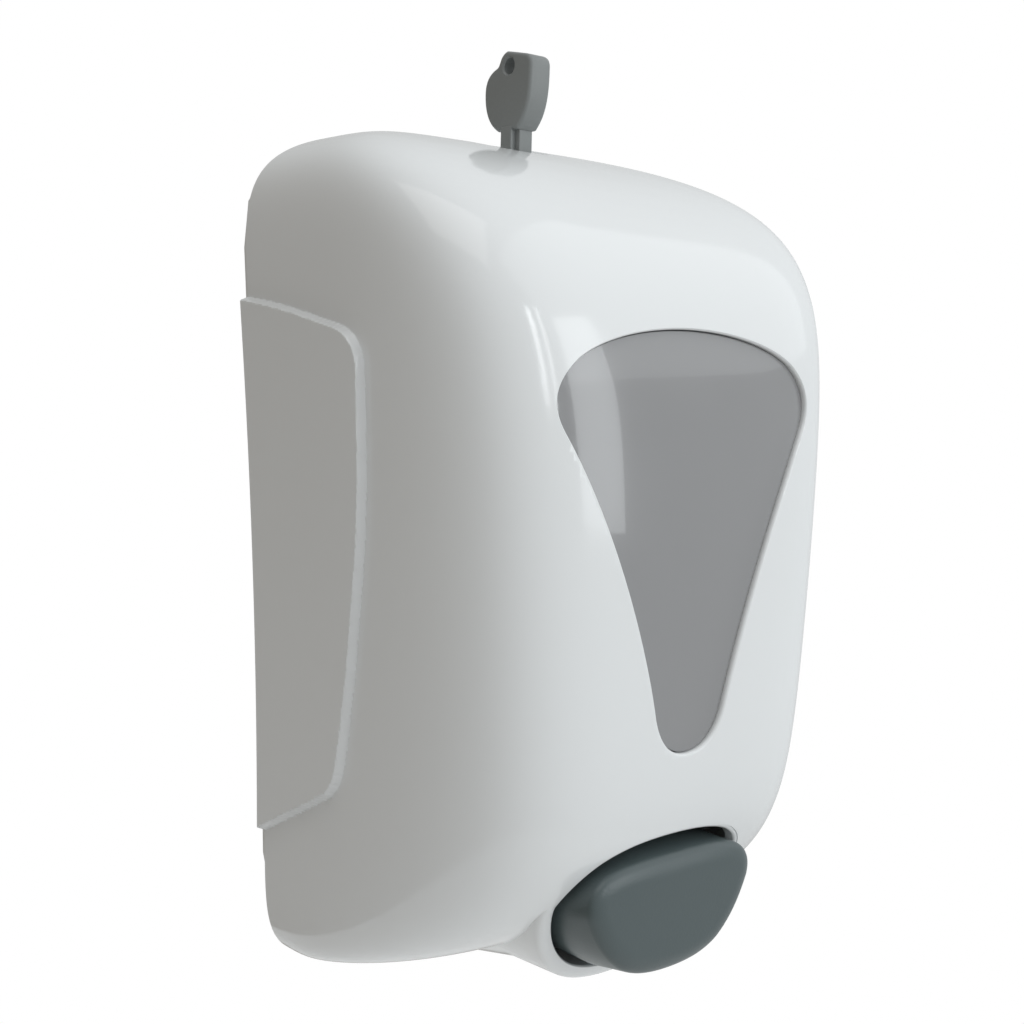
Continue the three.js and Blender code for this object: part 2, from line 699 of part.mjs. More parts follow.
function pumpSpring() {
  const length = -PISTON.back - 0.3 + (PUMP.back - 2.5) - 0.3
  return coil(5.2, 0.9, 4, length).rotate([90, 0, 0]).translate([0, PUMP.back - 2.8, PUMP.z])
}

function outletValve() {
  const at = [0, OUTLET.y]
  const rim = rod('Z', 5.6, -104.7, -103.7, at, 20)
  const tip = rod('Z', 2.6, -107.4, -104.2, at, 20)
  const slit = box(-2, 2, OUTLET.y - 0.25, OUTLET.y + 0.25, -110, -106.4)
  return cut(join(rim, tip), slit, rod('Z', 1.8, -106.8, -102, at, 16))
}

function outletNut() {
  const at = [0, OUTLET.y]
  const ring = rod('Z', 8, -106.4, -100.5, at, 24)
  return cut(ring, rod('Z', 6.3, -105, -98, at, 24), rod('Z', 3, -108, -104, at, 20))
}

// ---------------------------------------------------------------- assembly
const dispenser = new THREE.Group()

function add(name, piece, material) {
  const { vertProperties, triVerts } = piece.getMesh()
  const g = new THREE.BufferGeometry()
  g.setAttribute('position', new THREE.BufferAttribute(new Float32Array(vertProperties), 3))
  g.setIndex(new THREE.BufferAttribute(new Uint32Array(triVerts), 1))
  g.computeVertexNormals()
  const mesh = new THREE.Mesh(g, material)
  mesh.name = name
  dispenser.add(mesh)
}

add('wall_plate', wallPlate(), whiteMatte)
add('front_cover', frontCover(), whiteGloss)
add('window_pane', windowPane(), smoke)
add('hinge_pin_left', hingePin(-1), steel)
add('hinge_pin_right', hingePin(1), steel)
add('push_button', pushButton(), slate)
add('key', key(), keyGrey)
add('lock_plunger', lockPlunger(), whiteMatte)
add('latch_bolt', latchBolt(), whiteMatte)
add('latch_spring', coil(2.7, 0.8, 6, 18.4).translate([0, -9.5, 61.3]), steel)
add('tank', tank(), milky)
add('tank_lid', tankLid(), whiteMatte)
add('pump_nut', pumpNut(), pumpWhite)
add('neck_gasket', neckGasket(), rubber)
add('inlet_cage', inletCage(), pumpWhite)
add('inlet_valve', inletValve(), silicone)
add('pump_body', pumpBody(), pumpWhite)
add('pump_cap', pumpCap(), pumpWhite)
add('piston', piston(), pumpWhite)
add('piston_seal', pistonSeal(), rubber)
add('pump_spring', pumpSpring(), steel)
add('outlet_valve', outletValve(), silicone)
add('outlet_nut', outletNut(), pumpWhite)

export default dispenser
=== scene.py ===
"""Looks of a wall mounted soap dispenser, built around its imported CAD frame.

Shapes are worked out in millimetres, in the row frame: X right, -Y out of the wall, +Z up.
"""

import json
import math

import bpy
import numpy as np
from mathutils import Matrix, Vector


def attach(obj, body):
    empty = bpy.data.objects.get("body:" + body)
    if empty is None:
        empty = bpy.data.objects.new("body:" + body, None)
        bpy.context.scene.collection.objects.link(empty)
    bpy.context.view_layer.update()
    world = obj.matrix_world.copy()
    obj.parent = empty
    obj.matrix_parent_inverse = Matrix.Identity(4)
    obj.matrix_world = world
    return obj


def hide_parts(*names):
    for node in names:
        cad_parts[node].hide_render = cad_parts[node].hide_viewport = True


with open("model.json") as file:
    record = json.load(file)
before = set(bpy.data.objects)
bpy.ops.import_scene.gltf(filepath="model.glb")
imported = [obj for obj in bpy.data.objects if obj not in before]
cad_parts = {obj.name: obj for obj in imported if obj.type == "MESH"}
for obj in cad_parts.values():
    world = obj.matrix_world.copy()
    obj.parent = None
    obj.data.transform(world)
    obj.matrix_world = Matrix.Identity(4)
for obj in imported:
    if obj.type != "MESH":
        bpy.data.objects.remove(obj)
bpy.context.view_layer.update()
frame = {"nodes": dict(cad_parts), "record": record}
nodes = frame["nodes"]

MM = 0.001

# ---------------------------------------------------------------- driving dimensions, as in the CAD
HALF_HEIGHT = 115
HALF_WIDTH = 67.4
DEPTH = 96.7
WALL = 2.5
GAP = 0.3
RIM = -2.3  # the cover's back edge
OPEN_BACK = 10  # hollows reach this far behind the wall's face
FAR = 130  # past the cover on every side, for cutters

PANEL_RISE = 2.4
PANEL_CHAMFER = 1.1
PANEL_INNER = 40  # the panels lie further than this from the middle
PANEL_EDGE = (-58, -35)  # where the panels' front edges lie, along Y
PANEL_ENDS = [(-86, -50), (52, 70)]  # where their lower and upper edges lie, along Z

PANE = {"thick": 1.6, "flange": 4, "recess": 1.3, "edge": 0.9}
COLLAR = {"back": -36, "front": -88, "top": -68, "lean": 0.4, "lip": 4, "round": 2.2, "edge": 1.0}
BOSS = {"wall": 2, "bottom": 99, "half": 7, "tab": (-17.8, -15.3, 95, 106)}
SCOOP = {"radius": 32, "deep": 1.9}

HINGE = {"y": -5.5, "z": -111, "radius": 3, "pin": 1.3, "hole": 1.5, "reach": 5.5}
LUG = {"inner": 34, "outer": 40, "play": 0.5, "knuckle": 6}

BUTTON = {"front": -94, "shoulder": -80, "back": -64, "wall": 2.2, "push": -69.7, "play": 2}
BUTTON_EDGE = (5, 3)  # how far its face falls away to the sides: across and deep
BUTTON_INNER_EDGE = (3, 2)
POST = {"radius": 6, "bore": 3.5, "rib": (5, 22), "rib_half": 0.9}

KEY = {"y": -24.2, "thick": 7.6, "foot": 115.8, "shoulder": 104.3, "tip": 98.5, "hole": 5.3}
KEY_EYE = {"radius": 2.2, "flare": 1.0, "forward": 0.4, "up": 17.2}
STEM = {"size": 7.8, "arm": 4.4}
BIT = {"size": 6.3, "arm": 2.2}
PLUNGER = {"radius": 4.6, "bottom": 96.3, "ring_top": 98.6, "socket": 6.9, "arm": 2.8}
LATCH_COIL = {"radius": 2.7, "wire": 0.8, "turns": 6, "length": 18.4, "y": -9.5, "z": 61.3}
PUMP_COIL = {"radius": 5.2, "wire": 0.9, "turns": 4}

TANK = {"inset": 9, "wall": 2, "back": -19, "bottom": -48, "top": 70}
NECK = {"y": -40, "radius": 12, "bore": 8.5, "bottom": -60}
PUMP = {"z": -86, "radius": 11, "bore": 8, "back": -28, "front": -55}
COLUMN = {"radius": 9, "top": -63, "socket": 6.8, "socket_foot": -74, "bore": 4, "bore_top": -70}
FLANGE = {"radius": 11.6, "bottom": -63.5, "top": -61.5}
CAP = {"radius": 13.2, "skirt": 5.5, "thick": 3, "hole": 4.4}
PISTON = {"back": -44, "front": -50, "seal": -47, "push": -69.4, "pad": 2}
PISTON_RADIUS = {"head": 7.6, "core": 6, "stem": 4, "pad": 6.4, "spigot": 3}
SEAL = {"outer": 7.9, "inner": 6.15, "half": 1, "groove": 1.3}
NUT = {"radius": 16, "flutes": 18, "flute": 0.35, "bottom": -66.5, "top": -52.5, "bevel": 0.5}
NUT_BORE = {"wide": NECK["radius"] + 0.4, "floor": -63.8, "narrow": 9.5}
GASKET = {"outer": 11.6, "inner": 8.8, "bottom": -61.2, "top": -60.3}
CAGE = {"radius": 6.5, "bottom": -71.6, "top": -69.6, "hub": 1.7, "ports": 4, "port": 1.3, "ring": 3.9}
FLAP = {"radius": 6.2, "bottom": -73.7, "top": -72.7, "stem": 1.4, "stem_top": -68.5}
OUTLET = {"y": -39.5, "radius": 6, "bore": 2.5, "bottom": -103.4, "hole": 10.5}
SLIT = {"radius": 5.6, "top": -103.7, "foot": -104.7, "tip": 2.6, "tip_foot": -107.4, "bore": 1.8}
SLIT_MOUTH = {"half": 2, "open": 0.25, "top": -106.4}
OUTLET_NUT = {"radius": 8, "bottom": -106.4, "top": -100.5, "bore": 6.3, "floor": -105, "hole": 3}

# ---------------------------------------------------------------- fineness of the meshes
COVER_ROWS = 320
COVER_COLUMNS = 320
COVER_ENDS = (-0.997, 0.9985)  # the last levels where the form still stands out past the rim
FINER = 5  # how much closer the cover's points lie along the panels' edges
FINER_FADE = (70, 95)  # heights over which the finer columns end
PROFILE_SAMPLES = 3000
SECTION_SAMPLES = 1200
LARGE_FACE = 600  # square millimetres


# ---------------------------------------------------------------- form of the body
def half_width(level):
    taper = 1 + 0.077 * level + 0.05 * level**2
    end = (1 - level**11.8) ** 0.454 if level > 0 else (1 - (-level) ** 14.6) ** 0.158
    return HALF_WIDTH * taper * end


def depth_at(level):
    taper = 1 - 0.013 * level - 0.081 * level**2 - 0.039 * level**3
    end = (1 - level**5.87) ** 0.739 if level > 0 else (1 - (-level) ** 5.65) ** 0.856
    return DEPTH * taper * end


def squareness(level):
    return 4.99 + 1.07 * level


def front_y(x, z):
    """The body's front surface at a place in front view."""
    level = max(-0.999, min(0.999, z / HALF_HEIGHT))
    power = squareness(level)
    share = max(1 - abs(x / half_width(level)) ** power, 1e-4)
    return -depth_at(level) * share ** (1 / power)


def crown_at(y):
    """How high the body's top is on the middle line at a place along Y."""
    low, high = 0.0, 1.0
    for _ in range(40):
        middle = (low + high) / 2
        if depth_at(middle) > -y:
            low = middle
        else:
            high = middle
    return HALF_HEIGHT * low


def even_levels(rows, foot=-0.9997, crown=0.9997, finer=()):
    """Levels from foot to crown, at even steps along the body's profile, or finer in some bands."""
    fine = np.sin(np.linspace(math.asin(foot), math.asin(crown), PROFILE_SAMPLES))
    z = HALF_HEIGHT * fine
    deep = np.array([depth_at(t) for t in fine])
    wide = np.array([half_width(t) for t in fine])
    step = np.sqrt(np.diff(z) ** 2 + np.diff(deep) ** 2 + np.diff(wide) ** 2)
    for low, high in finer:
        step[(z[1:] > low) & (z[1:] < high)] *= FINER
    run = np.concatenate([[0], np.cumsum(step)])
    return np.interp(np.linspace(0, run[-1], rows), run, fine)


def section(level, inset, columns, back=None, closer=1.0):
    """Half a section of the body as columns points (x, y), from +x round to -x.

    The points lie closer together along the panels' front edges, by a factor.
    """
    wide = max(half_width(level) - inset, 0.3)
    deep = max(depth_at(level) - inset, 0.3)
    power = 2 / squareness(level)
    angle = np.linspace(0, math.pi, SECTION_SAMPLES)
    x = wide * np.sign(np.cos(angle)) * np.abs(np.cos(angle)) ** power
    y = -deep * np.abs(np.sin(angle)) ** power
    if back is not None:
        keep = y < back
        if keep.sum() > 3:
            first, last = np.argmax(keep), len(y) - 1 - np.argmax(keep[::-1])
            edge = abs(x[first])
            x = np.concatenate([[edge], x[first : last + 1], [-edge]])
            y = np.concatenate([[back], y[first : last + 1], [back]])
    step = np.hypot(np.diff(x), np.diff(y))
    low, high = PANEL_EDGE
    step[(y[1:] > low) & (y[1:] < high) & (np.abs(x[1:]) > PANEL_INNER)] *= closer
    run = np.concatenate([[0], np.cumsum(step)])
    at = np.linspace(0, run[-1], columns)
    return np.stack([np.interp(at, run, x), np.interp(at, run, y)], 1)


# ---------------------------------------------------------------- outlines
def bezier(p0, p1, p2, p3, count):
    t = np.linspace(0, 1, count, endpoint=False)[:, None]
    p0, p1, p2, p3 = (np.array(p, float) for p in (p0, p1, p2, p3))
    return (1 - t) ** 3 * p0 + 3 * t * (1 - t) ** 2 * p1 + 3 * t * t * (1 - t) * p2 + t**3 * p3


def mirrored(start_height, curves, count=16):
    """A closed outline, the same on both sides, from one side's curves top to bottom."""
    points = []
    here = (0, start_height)
    for a, b, c, d, e, f in curves:
        points.append(bezier(here, (a, b), (c, d), (e, f), count))
        here = (e, f)
    side = np.concatenate(points + [np.array([here], float)])
    other = side[1:-1][::-1] * (-1, 1)
    return np.concatenate([side, other])


def window_outline():
    return mirrored(
        -44.2,
        [
            (6, -44.2, 10, -40.5, 12, -34),
            (16.5, -16, 27, 12, 42.5, 36.5),
            (46, 42.5, 45, 47.5, 38, 52.8),
            (30, 58, 15, 60.9, 0, 60.9),
        ],
        20,
    )


def button_opening():
    return mirrored(
        -66,
        [
            (9, -66, 17, -66.8, 23, -69.6),
            (29, -72.6, 32.4, -78, 31.2, -84),
            (29.6, -91, 24.5, -97.5, 18, -101.2),
            (12.5, -104.2, 6, -105, 0, -105),
        ],
    )


def button_face():
    return mirrored(
        -71.4,
        [
            (8, -71.4, 14, -71.2, 19.4, -71.6),
            (26.8, -72.2, 30.6, -76, 28.8, -82),
            (26.2, -87.8, 23, -92.8, 17.5, -96.8),
            (12.5, -100, 6, -100.6, 0, -100.6),
        ],
    )


def corner_rounded(corners, steps=8):
    """A polygon whose corners are each rounded by a curve: (a, b, radius)."""
    points = []
    for i, (a, b, radius) in enumerate(corners):
        here = np.array([a, b], float)
        if radius == 0:
            points.append(here[None])
            continue
        before = np.array(corners[i - 1][:2], float) - here
        after = np.array(corners[(i + 1) % len(corners)][:2], float) - here
        start = here + before / np.hypot(*before) * radius
        end = here + after / np.hypot(*after) * radius
        t = np.linspace(0, 1, steps + 1)[:, None]
        points.append((1 - t) ** 2 * start + 2 * t * (1 - t) * here + t * t * end)
    return np.concatenate(points)


def panel_outline():
    corners = [
        (14, 69.5, 0),
        (-18, 65.6, 10),
        (-53.4, 58.2, 10),
        (-51.7, 14, 14),
        (-44.6, -31, 12),
        (-38.9, -56.5, 7),
        (14, -84.2, 0),
    ]
    return corner_rounded(corners)


def key_outline():
    curves = [
        ((4.2, 0), (8.4, 2.2), (9.9, 6.2), (9.9, 10.6)),
        ((9.9, 10.6), (9.9, 14.6), (8, 16.4), (4.8, 17.4)),
        ((4.8, 17.4), (3.2, 18.4), (4, 20.4), (0.8, 21.4)),
        ((0.8, 21.4), (-2, 20.9), (-4.4, 20.3), (-6.8, 19.8)),
        ((-6.8, 19.8), (-9, 19.3), (-9.8, 18.2), (-9.6, 15.8)),
        ((-9.6, 15.8), (-9.6, 9.3), (-8.6, 3.6), (-4.2, 0)),
    ]
    return np.concatenate([bezier(*c, 14) for c in curves] + [np.array([(-4.2, 0.0)])])


def circle(radius, sides=48):
    a = (np.arange(sides) + 0.5) * 2 * math.pi / sides
    return np.stack([radius * np.cos(a), radius * np.sin(a)], 1)


def area(points):
    x, y = points[:, 0], points[:, 1]
    return 0.5 * np.sum(x * np.roll(y, -1) - np.roll(x, -1) * y)


def grown(points, amount):
    """The outline, anticlockwise, moved outwards along its corners' normals."""
    if area(points) < 0:
        points = points[::-1]
    along = np.roll(points, -1, 0) - np.roll(points, 1, 0)
    along /= np.hypot(along[:, 0], along[:, 1])[:, None]
    return points + amount * np.stack([along[:, 1], -along[:, 0]], 1)


def inside_distance(outline, points):
    """How far inside a closed outline each point lies; negative outside."""
    best = np.full(len(points), 1e9)
    inside = np.zeros(len(points), bool)
    for p, q in zip(outline, np.roll(outline, -1, 0)):
        d = q - p
        length = d @ d
        if length < 1e-9:
            continue
        t = np.clip(((points - p) @ d) / length, 0, 1)
        gap = points - (p + t[:, None] * d)
        best = np.minimum(best, np.hypot(gap[:, 0], gap[:, 1]))
        crosses = (p[1] > points[:, 1]) != (q[1] > points[:, 1])
        if abs(d[1]) > 1e-12:
            at = p[0] + (points[:, 1] - p[1]) * d[0] / d[1]
            inside ^= crosses & (points[:, 0] < at)
    return np.where(inside, best, -best)


# ---------------------------------------------------------------- meshes and booleans
AXES = {  # where an outline's first and second direction and its depth go
    "X": ((0, 1, 0), (0, 0, 1), (1, 0, 0)),
    "Y": ((1, 0, 0), (0, 0, 1), (0, -1, 0)),
    "Z": ((1, 0, 0), (0, 1, 0), (0, 0, 1)),
}


def mesh_object(name, points, faces):
    mesh = bpy.data.meshes.new(name)
    mesh.from_pydata([tuple(p) for p in np.asarray(points) * MM], [], faces)
    mesh.validate()
    mesh.update()
    made = bpy.data.objects.new(name, mesh)
    bpy.context.scene.collection.objects.link(made)
    turn_outwards(made)
    return made


def turn_outwards(made):
    mesh = made.data
    mesh.calc_loop_triangles()
    volume = 0.0
    for triangle in mesh.loop_triangles:
        a, b, c = (mesh.vertices[i].co for i in triangle.vertices)
        volume += a.dot(b.cross(c))
    if volume < 0:
        mesh.flip_normals()


def skin(name, rings, caps=True):
    """A closed surface over rings of equally many points."""
    count = len(rings[0])
    points = np.concatenate(rings)
    faces = []
    for i in range(len(rings) - 1):
        for j in range(count):
            a, b = i * count + j, i * count + (j + 1) % count
            faces.append((a, b, b + count, a + count))
    if caps:
        last = count * (len(rings) - 1)
        faces.append(tuple(range(count))[::-1])
        faces.append(tuple(range(last, last + count)))
    return mesh_object(name, points, faces)


def placed(axis, ring, at):
    across, up, out = (np.array(v, float) for v in AXES[axis])
    depth = -at if axis == "Y" else at
    return ring[:, :1] * across + ring[:, 1:] * up + depth * out


def stack(name, axis, layers):
    """A solid over flat rings: each layer is (its ring, where it lies)."""
    return skin(name, [placed(axis, ring, at) for ring, at in layers])


def prism(name, axis, outline, start, end):
    return stack(name, axis, [(outline, start), (outline, end)])


def rounded_ends(low, high, edge, steps=4):
    """Places from low to high, and how far in the outline lies there, for two rounded ends."""
    for turn in np.linspace(0, math.pi / 2, steps):
        yield low + edge * (1 - math.cos(turn)), edge * (1 - math.sin(turn))
    for turn in np.linspace(math.pi / 2, 0, steps):
        yield high - edge * (1 - math.cos(turn)), edge * (1 - math.sin(turn))


def moved(made, by):
    made.data.transform(Matrix.Translation(Vector(by) * MM))
    return made


def bar_offset(axis, at):
    """The move that puts a bar along an axis at its two other coordinates."""
    return {"X": (0, *at), "Y": (at[0], 0, at[1]), "Z": (*at, 0)}[axis]


def soft_rod(name, axis, radius, start, end, at, edge=0.4, sides=48):
    """A round bar with softened ends."""
    ends = rounded_ends(min(start, end), max(start, end), edge)
    made = stack(name, axis, [(circle(radius - inset, sides), place) for place, inset in ends])
    return moved(made, bar_offset(axis, at))


def rod(name, axis, radius, start, end, at, sides=48):
    made = prism(name, axis, circle(radius, sides), start, end)
    return moved(made, bar_offset(axis, at))


def block(name, x0, x1, y0, y1, z0, z1, edge=0.0):
    """A box, with its edges rounded where an edge size is given."""
    outline = np.array([(x0, y0), (x1, y0), (x1, y1), (x0, y1)], float)
    if edge == 0:
        return stack(name, "Z", [(outline, z0), (outline, z1)])
    ring = corner_rounded([(a, b, edge) for a, b in outline], 3)
    ends = rounded_ends(z0, z1, edge)
    return stack(name, "Z", [(grown(ring, -inset), place) for place, inset in ends])


def combine(first, second, operation):
    modifier = first.modifiers.new("boolean", "BOOLEAN")
    modifier.operation = operation
    modifier.solver = "MANIFOLD"
    modifier.object = second
    graph = bpy.context.evaluated_depsgraph_get()
    mesh = bpy.data.meshes.new_from_object(first.evaluated_get(graph))
    first.modifiers.clear()
    old = first.data
    first.data = mesh
    bpy.data.meshes.remove(old)
    spent = second.data
    bpy.data.objects.remove(second)
    bpy.data.meshes.remove(spent)
    return first


def join(first, *others):
    for other in others:
        combine(first, other, "UNION")
    return first


def cut(first, *others):
    for other in others:
        combine(first, other, "DIFFERENCE")
    return first


def common(first, second):
    return combine(first, second, "INTERSECT")


def body(name, inset, back, rows=120, columns=120):
    """The body drawn in by an inset, closed by a flat face at the plane behind it."""
    rings = []
    for level in even_levels(rows):
        half = section(level, inset, columns)
        ends = [(half[0][0], back)], [(half[-1][0], back)]
        ring = np.concatenate([ends[0], half, ends[1]])
        height = np.full((len(ring), 1), (HALF_HEIGHT - inset) * level)
        rings.append(np.hstack([ring, height]))
    return skin(name, rings)


# ---------------------------------------------------------------- materials
def shader(name, color, roughness, **settings):
    material = bpy.data.materials.new(name)
    material.use_nodes = True
    tree = material.node_tree
    principled = tree.nodes["Principled BSDF"]
    principled.inputs["Base Color"].default_value = (*color, 1)
    principled.inputs["Roughness"].default_value = roughness
    for key, value in settings.items():
        principled.inputs[key].default_value = value
    return material, tree, principled


def noise(tree, scale, detail=3.0, stretch=(1, 1, 1), roughness=0.5):
    place = tree.nodes.new("ShaderNodeTexCoord")
    mapping = tree.nodes.new("ShaderNodeMapping")
    mapping.inputs["Scale"].default_value = stretch
    texture = tree.nodes.new("ShaderNodeTexNoise")
    texture.inputs["Scale"].default_value = scale
    texture.inputs["Detail"].default_value = detail
    texture.inputs["Roughness"].default_value = roughness
    tree.links.new(place.outputs["Object"], mapping.inputs["Vector"])
    tree.links.new(mapping.outputs["Vector"], texture.inputs["Vector"])
    return texture.outputs["Fac"]


def ramp_between(tree, factor, low, high):
    ramp = tree.nodes.new("ShaderNodeMapRange")
    ramp.inputs["From Min"].default_value = 0.3
    ramp.inputs["From Max"].default_value = 0.7
    ramp.inputs["To Min"].default_value = low
    ramp.inputs["To Max"].default_value = high
    tree.links.new(factor, ramp.inputs["Value"])
    return ramp.outputs["Result"]


def tint(tree, factor, color, change):
    """Colour that drifts a little lighter and darker."""
    mix = tree.nodes.new("ShaderNodeMix")
    mix.data_type = "RGBA"
    mix.inputs[6].default_value = (*(c * (1 - change) for c in color), 1)
    mix.inputs[7].default_value = (*(min(c * (1 + change), 1) for c in color), 1)
    tree.links.new(factor, mix.inputs[0])
    return mix.outputs[2]


def bump(tree, principled, height, strength, distance):
    node = tree.nodes.new("ShaderNodeBump")
    node.inputs["Strength"].default_value = strength
    node.inputs["Distance"].default_value = distance
    tree.links.new(height, node.inputs["Height"])
    tree.links.new(node.outputs["Normal"], principled.inputs["Normal"])


def moulded(name, color, rough, change=0.02, grain=900, strength=0.04, **settings):
    """Moulded plastic: faint colour drift, uneven gloss and a fine surface grain."""
    material, tree, principled = shader(name, color, sum(rough) / 2, **settings)
    drift = noise(tree, 9, 2)
    tree.links.new(tint(tree, drift, color, change), principled.inputs["Base Color"])
    cloud = noise(tree, 60, 4)
    tree.links.new(ramp_between(tree, cloud, *rough), principled.inputs["Roughness"])
    bump(tree, principled, noise(tree, grain, 2), strength, 0.0002)
    return material


def brushed_steel(name):
    color = (0.62, 0.63, 0.64)
    material, tree, principled = shader(name, color, 0.3, Metallic=1.0)
    streak = noise(tree, 300, 3, (1, 1, 14))
    tree.links.new(tint(tree, streak, color, 0.12), principled.inputs["Base Color"])
    tree.links.new(ramp_between(tree, streak, 0.22, 0.38), principled.inputs["Roughness"])
    bump(tree, principled, streak, 0.1, 0.0001)
    return material


MATERIALS = {
    "white_gloss": moulded("white_gloss", (0.80, 0.815, 0.82), (0.09, 0.16), 0.012, 500, 0.02,
                           **{"Coat Weight": 0.15, "Coat Roughness": 0.05}),
    "white_matte": moulded("white_matte", (0.74, 0.75, 0.745), (0.35, 0.5), 0.02, 1400, 0.12),
    "smoked_clear": moulded("smoked_clear", (0.31, 0.31, 0.315), (0.12, 0.18), 0.03, 300, 0.02,
                            **{"Alpha": 0.82, "IOR": 1.59, "Coat Weight": 1.0}),
    "slate_grey": moulded("slate_grey", (0.076, 0.100, 0.103), (0.28, 0.38), 0.05, 1600, 0.18),
    "key_grey": moulded("key_grey", (0.225, 0.238, 0.236), (0.34, 0.5), 0.07, 900, 0.2),
    "milky": moulded("milky", (0.78, 0.80, 0.79), (0.25, 0.4), 0.03, 400, 0.06, **{"Alpha": 0.82}),
    "pump_white": moulded("pump_white", (0.8, 0.8, 0.77), (0.25, 0.38), 0.02, 900, 0.06),
    "rubber": moulded("rubber", (0.018, 0.018, 0.02), (0.6, 0.8), 0.15, 1200, 0.25),
    "silicone": moulded("silicone", (0.6, 0.62, 0.61), (0.4, 0.55), 0.03, 900, 0.1),
    "steel": brushed_steel("steel"),
}


def finish_piece(made, name, slot, body_name, replaced, angle=32):
    """Names a piece, gives it its material and its body, and hides the CAD nodes it stands for."""
    made.name = name
    made.data.name = name
    made.data.materials.clear()
    made.data.materials.append(MATERIALS[slot])
    for face in made.data.polygons:
        face.use_smooth = True
    made.data.set_sharp_from_angle(angle=math.radians(angle))
    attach(made, body_name)
    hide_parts(*replaced)
    return made


def kept_node(name, slot, edge=0.35, angle=40):
    """A CAD node shown as it is, with small rounded edges, on its own body."""
    made = nodes[name].copy()
    made.data = nodes[name].data.copy()
    bpy.context.scene.collection.objects.link(made)
    for key in list(made.keys()):
        del made[key]
    made.parent = None
    weld = made.modifiers.new("weld", "WELD")
    weld.merge_threshold = 1e-6
    flat = made.modifiers.new("flat", "DECIMATE")
    flat.decimate_type = "DISSOLVE"
    flat.angle_limit = math.radians(1)
    round_off = made.modifiers.new("edge", "BEVEL")
    round_off.width = edge * MM
    round_off.segments = 2
    round_off.limit_method = "ANGLE"
    round_off.angle_limit = math.radians(angle)
    round_off.use_clamp_overlap = True
    graph = bpy.context.evaluated_depsgraph_get()
    mesh = bpy.data.meshes.new_from_object(made.evaluated_get(graph))
    made.modifiers.clear()
    made.data = mesh
    owner = next(b for b, names in frame["record"]["behaviour"]["bodies"].items() if name in names)
    finish_piece(made, name + "_shape", slot, owner, [name])
    for face in mesh.polygons:  # large flat faces stay flat beside their rounded edges
        face.use_smooth = face.area < LARGE_FACE * MM**2
    return made


# ---------------------------------------------------------------- front cover
def eased(t, ends=0.22):
    """0 to 1 along a straight slope whose two ends are rounded off."""
    t = np.clip(t, 0, 1)
    slope = 1 / (1 - ends)
    foot = slope * t**2 / (2 * ends)
    head = 1 - slope * (1 - t) ** 2 / (2 * ends)
    return np.where(t < ends, foot, np.where(t > 1 - ends, head, slope * (t - ends / 2)))


def cover_skin():
    """The cover's outside as one closed form, with its side panels raised and chamfered."""
    outline = panel_outline()
    rings = []
    fade_start, fade_end = FINER_FADE
    for level in even_levels(COVER_ROWS, *COVER_ENDS, PANEL_ENDS):
        beyond = (HALF_HEIGHT * abs(level) - fade_start) / (fade_end - fade_start)
        closer = 1 + (FINER - 1) * (1 - np.clip(beyond, 0, 1))
        low = section(level, 0, COVER_COLUMNS, RIM, closer)
        high = section(level, -PANEL_RISE, COVER_COLUMNS, RIM, closer)
        z = np.full(len(low), HALF_HEIGHT * level)
        depth_in = inside_distance(outline, np.stack([low[:, 1], z], 1))
        share = eased(depth_in / PANEL_CHAMFER)
        share[np.abs(low[:, 0]) < PANEL_INNER] = 0
        ring = low + (high - low) * share[:, None]
        rings.append(np.hstack([ring, z[:, None]]))
    return skin("cover_skin", rings)


def collar_y(z):
    """Where the collar's leaning front lies at a height."""
    return COLLAR["front"] + COLLAR["lean"] * (COLLAR["top"] - z)


def collar():
    """The ring around the button, with a thick rounded lip that leans back towards the foot."""
    opening = button_opening()
    front, back, lip, edge = (COLLAR[key] for key in ("front", "back", "lip", "round"))
    layers = [(lip + 4, back), (lip + 0.6, -60), (lip + 0.1, front + 6)]
    for turn in np.linspace(0, math.pi / 2, 7):
        layers.append((lip - edge * (1 - math.cos(turn)), front + edge * (1 - math.sin(turn))))
    rings = []
    for amount, at in layers:
        ring = placed("Y", grown(opening, amount), at)
        share = np.clip((ring[:, 1] - back) / (front - back), 0, 1)
        ring[:, 1] += share * COLLAR["lean"] * (COLLAR["top"] - ring[:, 2])
        rings.append(ring)
    return skin("collar", rings)


def flared_cutter(name, outline, surface_y, edge, behind):
    """Cuts an opening whose outer edge is rounded, following the surface it goes through."""
    ring = grown(outline, 0)
    surface = np.array([surface_y(x, z) for x, z in ring])
    rings = [np.stack([ring[:, 0], np.full(len(ring), behind), ring[:, 1]], 1)]
    for turn in np.linspace(0, math.pi / 2, 7):
        wide = grown(outline, edge * (1 - math.cos(turn)))
        depth = edge * (1 - math.sin(turn))
        rings.append(np.stack([wide[:, 0], surface + depth, wide[:, 1]], 1))
    wide = grown(outline, edge * 1.02)
    rings.append(np.stack([wide[:, 0], surface - 1.0, wide[:, 1]], 1))
    rings.append(np.stack([wide[:, 0], np.full(len(ring), -FAR), wide[:, 1]], 1))
    return skin(name, rings)


def key_scoop():
    """The ball that hollows the crown around the key."""
    radius = SCOOP["radius"]
    bpy.ops.mesh.primitive_uv_sphere_add(segments=128, ring_count=64, radius=radius * MM)
    ball = bpy.context.object
    height = crown_at(KEY["y"] - 1) + radius - SCOOP["deep"]
    return moved(ball, (0, KEY["y"] - 1.5, height))


def knuckles():
    made = []
    for side in (-1, 1):
        for start in (LUG["inner"] - LUG["play"] - LUG["knuckle"], LUG["outer"] + LUG["play"]):
            ends = sorted((side * start, side * (start + LUG["knuckle"])))
            made.append(soft_rod("knuckle", "X", HINGE["radius"], *ends, (HINGE["y"], HINGE["z"]), 0.3))
    return made


